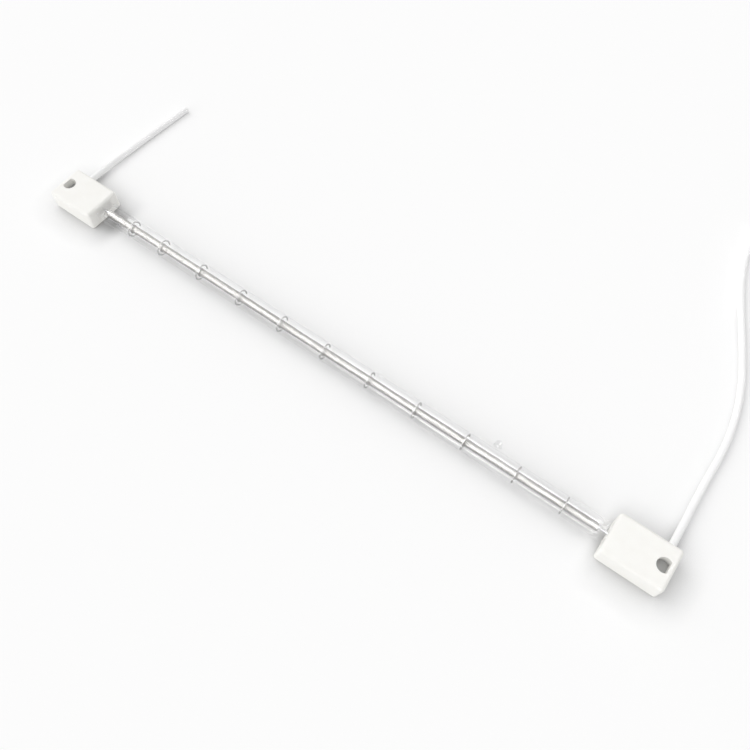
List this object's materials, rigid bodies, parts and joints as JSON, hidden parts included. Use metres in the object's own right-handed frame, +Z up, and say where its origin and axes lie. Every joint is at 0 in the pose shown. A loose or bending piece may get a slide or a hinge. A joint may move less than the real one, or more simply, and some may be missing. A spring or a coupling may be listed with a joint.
{
  "type": "infrared heat lamp",
  "caption": "Clear quartz infrared heat lamp: long wound filament on wire supports, white ceramic end caps with D-shaped sockets, and an insulated lead from the back of each cap.",
  "frame": {"origin": "middle of the lamp's length and width, on the plane of the caps' flat undersides", "axes": "+X along the tube towards the right cap, +Y to the back, where the leads come out, +Z up out of the caps' sockets"},
  "size_m": [0.3564, 0.2054, 0.0122],
  "materials": {
    "quartz": "clear, polished",
    "tungsten": "bright drawn wire",
    "support_wire": "bright drawn wire",
    "molybdenum": "satin",
    "plated_steel": "satin",
    "plated_wire": "satin",
    "cement": "matt",
    "ceramic": "satin white",
    "lead_insulation": "fine white braid"
  },
  "bodies": {
    "root": {"quartz_tube": "quartz", "filament_coil": "tungsten", "support_ring_01": "support_wire", "support_ring_02": "support_wire", "support_ring_03": "support_wire", "support_ring_04": "support_wire", "support_ring_05": "support_wire", "support_ring_06": "support_wire", "support_ring_07": "support_wire", "support_ring_08": "support_wire", "support_ring_09": "support_wire", "support_ring_10": "support_wire", "support_ring_11": "support_wire", "lead_in_wire_left": "molybdenum", "lead_in_wire_right": "molybdenum", "seal_foil_left": "molybdenum", "seal_foil_right": "molybdenum", "outer_pin_left": "molybdenum", "outer_pin_right": "molybdenum", "crimp_ferrule_left": "plated_steel", "crimp_ferrule_right": "plated_steel", "lead_core_left": "plated_wire", "lead_core_right": "plated_wire", "cement_left": "cement", "cement_right": "cement", "ceramic_cap_left": "ceramic", "ceramic_cap_right": "ceramic", "lead_wire_left": "lead_insulation", "lead_wire_right": "lead_insulation"}
  },
  "joints": []
}
